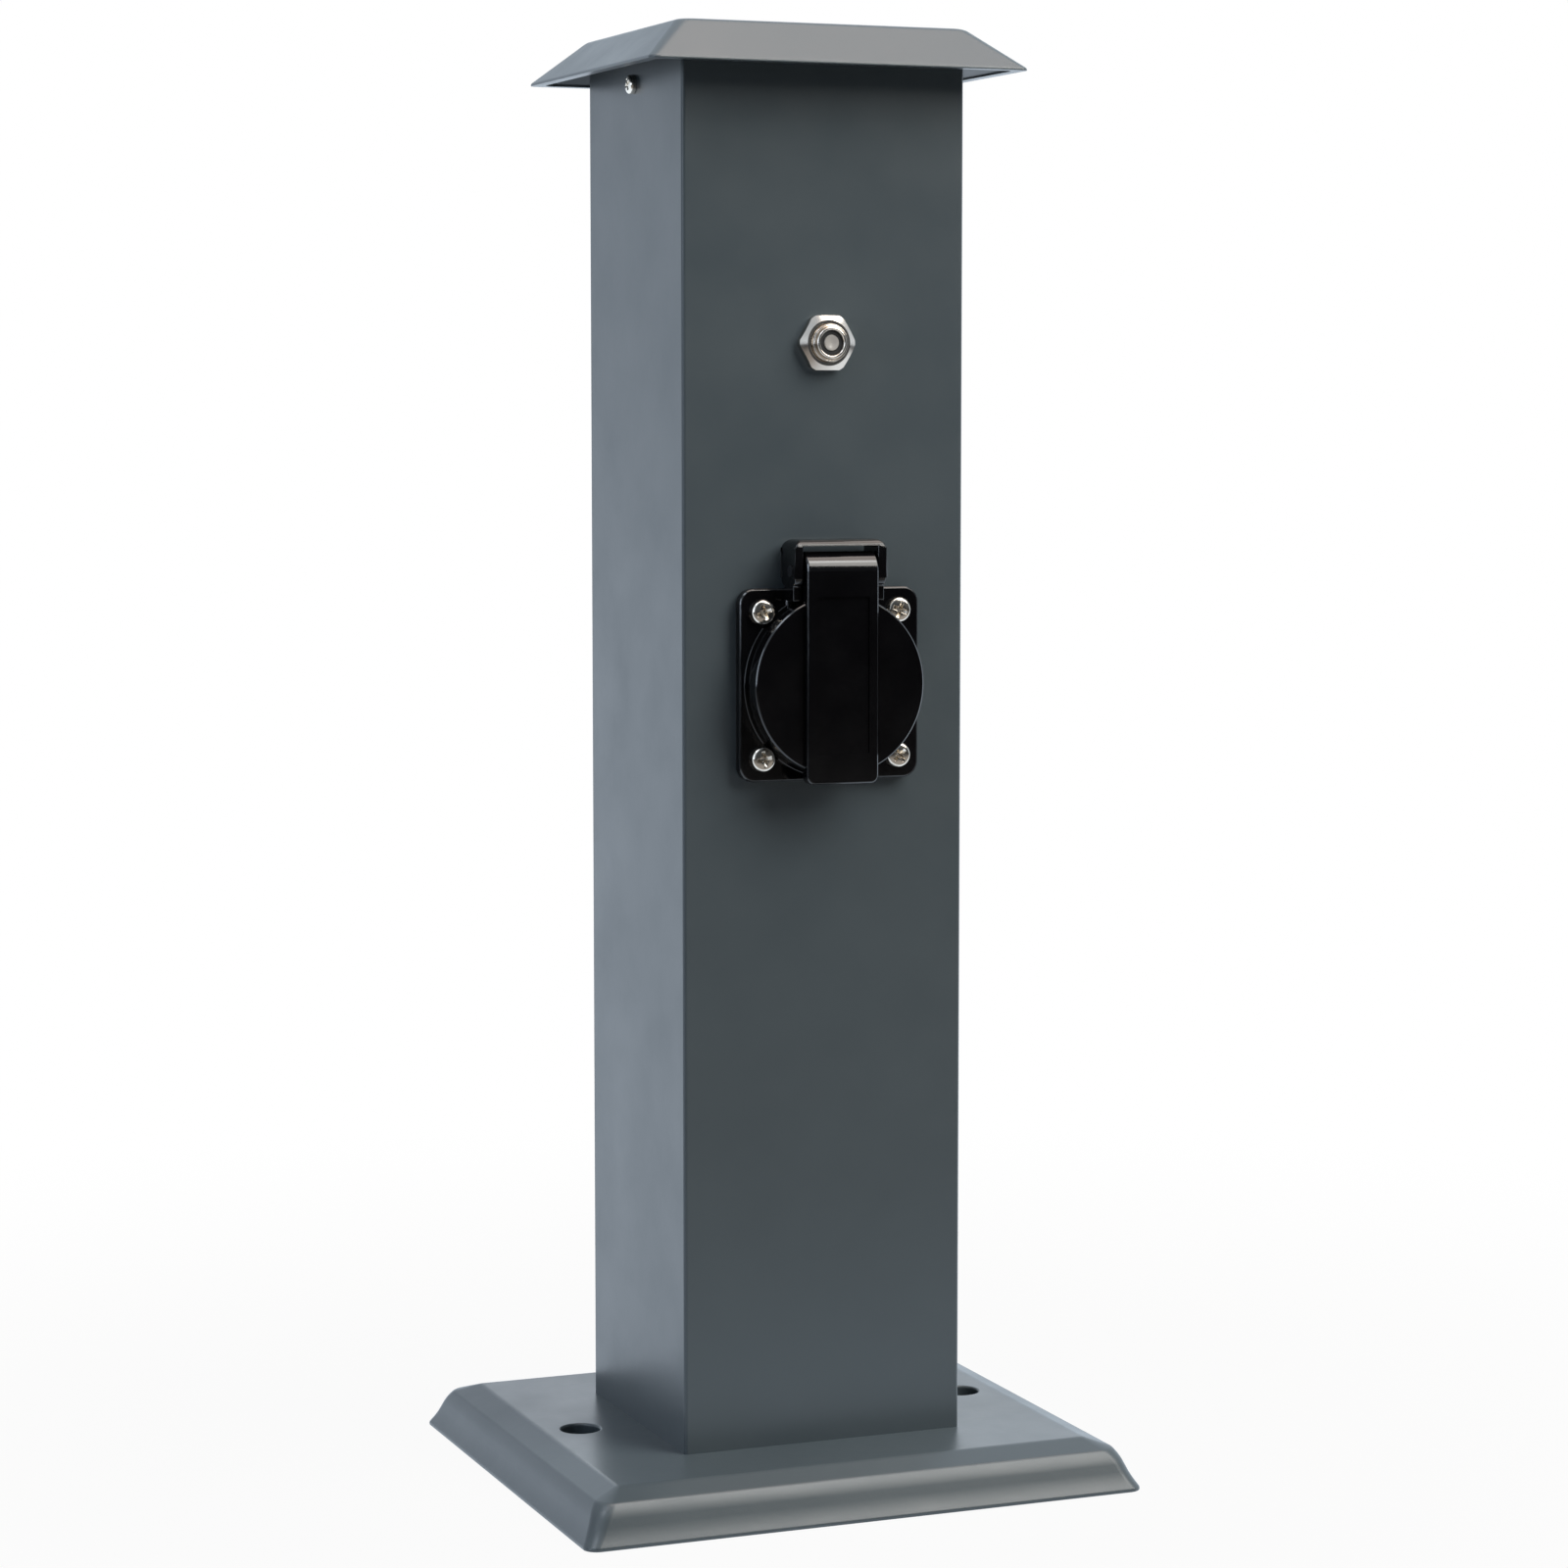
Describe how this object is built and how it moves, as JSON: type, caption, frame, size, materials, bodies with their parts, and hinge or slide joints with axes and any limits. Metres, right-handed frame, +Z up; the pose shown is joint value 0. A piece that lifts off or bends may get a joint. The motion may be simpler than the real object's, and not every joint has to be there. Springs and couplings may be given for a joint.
{
  "type": "garden socket post",
  "caption": "Free-standing outdoor power post: a hollow foot with floor holes, a box section post under a hipped cap, a mains socket with a sprung lid and an overload breaker.",
  "frame": {"origin": "centre of the foot's underside, on the floor", "axes": "+Z up along the post, -Y out of the socket, +X to the right of someone facing the socket"},
  "size_m": [0.156, 0.14, 0.3843],
  "materials": {
    "anthracite_coat": "satin powder coat",
    "black_gloss": "moulded gloss",
    "black_rubber": "matt",
    "nickel_plate": "bright nickel plate",
    "zinc_steel": "zinc plated",
    "spring_steel": "drawn wire",
    "contact_brass": "plain",
    "dark_moulding": "moulded matt",
    "block_moulding": "moulded matt",
    "button_grey": "moulded gloss",
    "brown_insulation": "extruded",
    "blue_insulation": "extruded",
    "green_insulation": "extruded"
  },
  "bodies": {
    "post": {"base_plate": "anthracite_coat", "base_screws": "zinc_steel", "cable_grommet": "black_rubber", "post_tube": "anthracite_coat", "roof_cap": "anthracite_coat", "cap_screws": "nickel_plate", "socket_gasket": "black_rubber", "socket_body": "black_gloss", "socket_screws": "nickel_plate", "socket_nuts": "zinc_steel", "contact_carrier": "dark_moulding", "line_contacts": "contact_brass", "earth_contact": "nickel_plate", "contact_screws": "zinc_steel", "hinge_pin": "spring_steel", "lid_spring": "spring_steel", "breaker_body": "dark_moulding", "breaker_neck": "nickel_plate", "breaker_nut": "nickel_plate", "breaker_tabs": "contact_brass", "terminal_bracket": "zinc_steel", "bracket_screws": "zinc_steel", "terminal_block": "block_moulding", "block_screws": "zinc_steel", "block_clamps": "contact_brass", "clamp_screws": "zinc_steel", "bond_lug": "nickel_plate", "supply_live_wire": "brown_insulation", "socket_live_wire": "brown_insulation", "neutral_wire": "blue_insulation", "earth_wire": "green_insulation", "bond_wire": "green_insulation"},
    "lid": {"socket_lid": "black_gloss", "lid_seal": "black_rubber"},
    "button": {"reset_button": "button_grey"}
  },
  "joints": [
    {"name": "lid_hinge", "type": "hinge", "parent": "post", "child": "lid", "pos_m": [0, -0.044, 0.2442], "axis": [-1, 0, 0], "range_deg": [0, 100], "stiffness_Nm_per_rad": 0.02, "springref_deg": -28.65, "deforming": ["lid_spring"]},
    {"name": "button_slide", "type": "slide", "parent": "post", "child": "button", "axis": [0, -1, 0], "range_m": [0, 0.004]}
  ]
}
